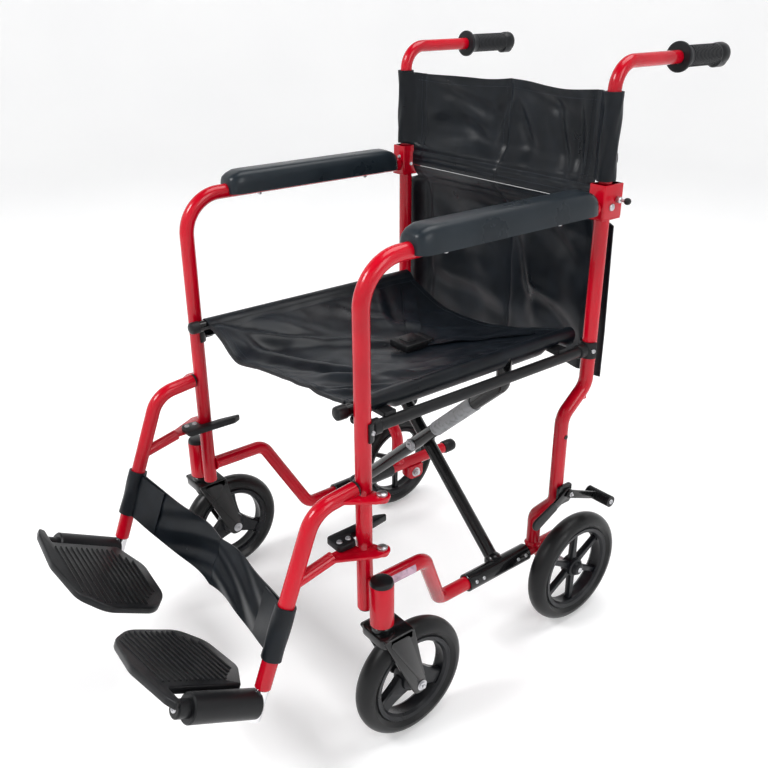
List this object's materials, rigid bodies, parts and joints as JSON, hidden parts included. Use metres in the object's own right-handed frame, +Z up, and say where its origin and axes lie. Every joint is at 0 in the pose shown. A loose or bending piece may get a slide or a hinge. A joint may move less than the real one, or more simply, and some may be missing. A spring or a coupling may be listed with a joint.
{
  "type": "wheelchair",
  "caption": "Folding attendant-pushed transit wheelchair with a red tube frame, black nylon seat and back, swing-away footrests, small casters and rear wheels",
  "frame": {"origin": "Ground level under the middle of the chair's bounding box", "axes": "X is across, positive to the sitter's left; Y runs front to back, the sitter faces -Y; Z is up"},
  "size_m": [0.575, 0.9889, 0.9145],
  "materials": {
    "red_paint": "gloss crimson paint over steel tube",
    "black_paint": "satin black paint over steel",
    "black_plastic": "moulded black plastic",
    "black_nylon": "woven black nylon",
    "black_rubber": "black rubber",
    "chrome": "chrome plated tube",
    "steel": "zinc plated steel"
  },
  "bodies": {
    "frame_left": {"front_arm_tube_left": "red_paint", "rear_post_left": "red_paint", "lower_rail_left": "red_paint", "tipping_cap_left": "black_plastic", "caster_housing_left": "red_paint", "armrest_pad_left": "black_plastic", "back_bracket_left": "red_paint", "seat_support_rail_left": "black_plastic", "axle_bracket_left": "red_paint", "brake_bracket_left": "black_paint", "back_sling_lower_left": "black_nylon"},
    "frame_right": {"front_arm_tube_right": "red_paint", "rear_post_right": "red_paint", "lower_rail_right": "red_paint", "tipping_cap_right": "black_plastic", "caster_housing_right": "red_paint", "armrest_pad_right": "black_plastic", "back_bracket_right": "red_paint", "seat_support_rail_right": "black_plastic", "axle_bracket_right": "red_paint", "brake_bracket_right": "black_paint", "back_sling_lower_right": "black_nylon"},
    "brace_rear": {"cross_brace_rear": "black_paint", "lap_belt_right": "black_nylon"},
    "brace_front": {"cross_brace_front": "black_paint", "cross_pivot_bolt": "steel", "seat_sling": "black_nylon", "lap_belt_left": "black_nylon"},
    "upper_back_left": {"back_cane_left": "red_paint", "push_grip_left": "black_rubber", "back_sling_upper_left": "black_nylon"},
    "back_pin_left": {"back_release_pin_left": "steel"},
    "caster_fork_left": {"caster_fork_left": "black_paint"},
    "caster_wheel_left": {"caster_rim_left": "black_plastic", "caster_tyre_left": "black_rubber"},
    "rear_wheel_left": {"rear_rim_left": "black_plastic", "rear_tyre_left": "black_rubber"},
    "brake_lever_left": {"brake_lever_left": "black_plastic"},
    "brake_shoe_left": {"brake_shoe_left": "black_plastic"},
    "hanger_left": {"hanger_left": "red_paint", "footrest_extension_left": "chrome", "calf_strap_left": "black_nylon"},
    "hanger_latch_left": {"hanger_release_lever_left": "black_plastic"},
    "footplate_left": {"footplate_left": "black_plastic"},
    "upper_back_right": {"back_cane_right": "red_paint", "push_grip_right": "black_rubber", "back_sling_upper_right": "black_nylon"},
    "back_pin_right": {"back_release_pin_right": "steel"},
    "caster_fork_right": {"caster_fork_right": "black_paint"},
    "caster_wheel_right": {"caster_rim_right": "black_plastic", "caster_tyre_right": "black_rubber"},
    "rear_wheel_right": {"rear_rim_right": "black_plastic", "rear_tyre_right": "black_rubber"},
    "brake_lever_right": {"brake_lever_right": "black_plastic"},
    "brake_shoe_right": {"brake_shoe_right": "black_plastic"},
    "hanger_right": {"hanger_right": "red_paint", "footrest_extension_right": "chrome", "calf_strap_right": "black_nylon"},
    "hanger_latch_right": {"hanger_release_lever_right": "black_plastic"},
    "footplate_right": {"footplate_right": "black_plastic"}
  },
  "joints": [
    {"name": "cross_fold", "type": "hinge", "parent": "frame_left", "child": "brace_rear", "pos_m": [0.179, 0.113, 0.119], "axis": [0, 1, 0], "range_deg": [0, 36], "deforming": ["seat_sling", "back_sling_upper_left", "back_sling_upper_right", "back_sling_lower_left", "back_sling_lower_right", "calf_strap_left", "calf_strap_right", "lap_belt_left", "lap_belt_right"]},
    {"name": "centre_pivot", "type": "hinge", "parent": "brace_rear", "child": "brace_front", "pos_m": [0, 0.101, 0.28281], "axis": [0, 1, 0], "range_deg": [-72, 0]},
    {"name": "right_frame_hinge", "type": "hinge", "parent": "brace_front", "child": "frame_right", "pos_m": [-0.179, 0.089, 0.119], "axis": [0, 1, 0], "range_deg": [0, 36]},
    {"name": "back_fold_left", "type": "hinge", "parent": "frame_left", "child": "upper_back_left", "pos_m": [0.218, 0.2465, 0.701], "axis": [-1, 0, 0], "range_deg": [0, 105], "deforming": ["back_sling_upper_left", "back_sling_lower_left"]},
    {"name": "back_pin_pull_left", "type": "slide", "parent": "frame_left", "child": "back_pin_left", "axis": [1, 0, 0], "range_m": [0, 0.006]},
    {"name": "caster_swivel_left", "type": "hinge", "parent": "frame_left", "child": "caster_fork_left", "pos_m": [0.2545, -0.1875, 0.2085], "axis": [0, 0, 1], "continuous": true},
    {"name": "caster_spin_left", "type": "hinge", "parent": "caster_fork_left", "child": "caster_wheel_left", "pos_m": [0.2545, -0.1385, 0.0915], "axis": [1, 0, 0], "continuous": true},
    {"name": "rear_wheel_spin_left", "type": "hinge", "parent": "frame_left", "child": "rear_wheel_left", "pos_m": [0.234, 0.2357, 0.097], "axis": [1, 0, 0], "continuous": true},
    {"name": "brake_lever_left", "type": "hinge", "parent": "frame_left", "child": "brake_lever_left", "pos_m": [0.2348, 0.2045, 0.252], "axis": [-1, 0, 0], "range_deg": [0, 60]},
    {"name": "brake_shoe_left", "type": "hinge", "parent": "frame_left", "child": "brake_shoe_left", "pos_m": [0.2396, 0.2045, 0.252], "axis": [-1, 0, 0], "range_deg": [0, 18.6]},
    {"name": "hanger_swing_left", "type": "hinge", "parent": "frame_left", "child": "hanger_left", "pos_m": [0.246, -0.1795, 0.3965], "axis": [0, 0, 1], "range_deg": [0, 90]},
    {"name": "hanger_latch_left", "type": "hinge", "parent": "hanger_left", "child": "hanger_latch_left", "pos_m": [0.206, -0.2175, 0.3201], "axis": [0, 0, 1], "range_deg": [0, 15]},
    {"name": "footplate_flip_left", "type": "hinge", "parent": "hanger_left", "child": "footplate_left", "pos_m": [0.18989, -0.37137, 0.16115], "axis": [0, 0.8829, -0.4695], "range_deg": [0, 96]},
    {"name": "back_fold_right", "type": "hinge", "parent": "frame_right", "child": "upper_back_right", "pos_m": [-0.218, 0.2465, 0.701], "axis": [-1, 0, 0], "range_deg": [0, 105], "deforming": ["back_sling_upper_right", "back_sling_lower_right"]},
    {"name": "back_pin_pull_right", "type": "slide", "parent": "frame_right", "child": "back_pin_right", "axis": [-1, 0, 0], "range_m": [0, 0.006]},
    {"name": "caster_swivel_right", "type": "hinge", "parent": "frame_right", "child": "caster_fork_right", "pos_m": [-0.2545, -0.1875, 0.2085], "axis": [0, 0, 1], "continuous": true},
    {"name": "caster_spin_right", "type": "hinge", "parent": "caster_fork_right", "child": "caster_wheel_right", "pos_m": [-0.2545, -0.1385, 0.0915], "axis": [1, 0, 0], "continuous": true},
    {"name": "rear_wheel_spin_right", "type": "hinge", "parent": "frame_right", "child": "rear_wheel_right", "pos_m": [-0.234, 0.2357, 0.097], "axis": [1, 0, 0], "continuous": true},
    {"name": "brake_lever_right", "type": "hinge", "parent": "frame_right", "child": "brake_lever_right", "pos_m": [-0.2348, 0.2045, 0.252], "axis": [-1, 0, 0], "range_deg": [0, 60]},
    {"name": "brake_shoe_right", "type": "hinge", "parent": "frame_right", "child": "brake_shoe_right", "pos_m": [-0.2396, 0.2045, 0.252], "axis": [-1, 0, 0], "range_deg": [0, 18.6]},
    {"name": "hanger_swing_right", "type": "hinge", "parent": "frame_right", "child": "hanger_right", "pos_m": [-0.246, -0.1795, 0.3965], "axis": [0, 0, -1], "range_deg": [0, 90]},
    {"name": "hanger_latch_right", "type": "hinge", "parent": "hanger_right", "child": "hanger_latch_right", "pos_m": [-0.206, -0.2175, 0.3201], "axis": [0, 0, -1], "range_deg": [0, 15]},
    {"name": "footplate_flip_right", "type": "hinge", "parent": "hanger_right", "child": "footplate_right", "pos_m": [-0.18989, -0.37137, 0.16115], "axis": [0, -0.8829, 0.4695], "range_deg": [0, 96]}
  ],
  "couplings": [
    {"joint": "centre_pivot", "follows": "cross_fold", "ratio": -2},
    {"joint": "right_frame_hinge", "follows": "cross_fold", "ratio": 1},
    {"joint": "brake_shoe_left", "follows": "brake_lever_left", "ratio": 0.31},
    {"joint": "footplate_flip_left", "follows": "cross_fold", "ratio": 2.6666},
    {"joint": "brake_shoe_right", "follows": "brake_lever_right", "ratio": 0.31},
    {"joint": "footplate_flip_right", "follows": "cross_fold", "ratio": 2.6666},
    {"joint": "back_fold_right", "follows": "back_fold_left", "ratio": 1}
  ]
}
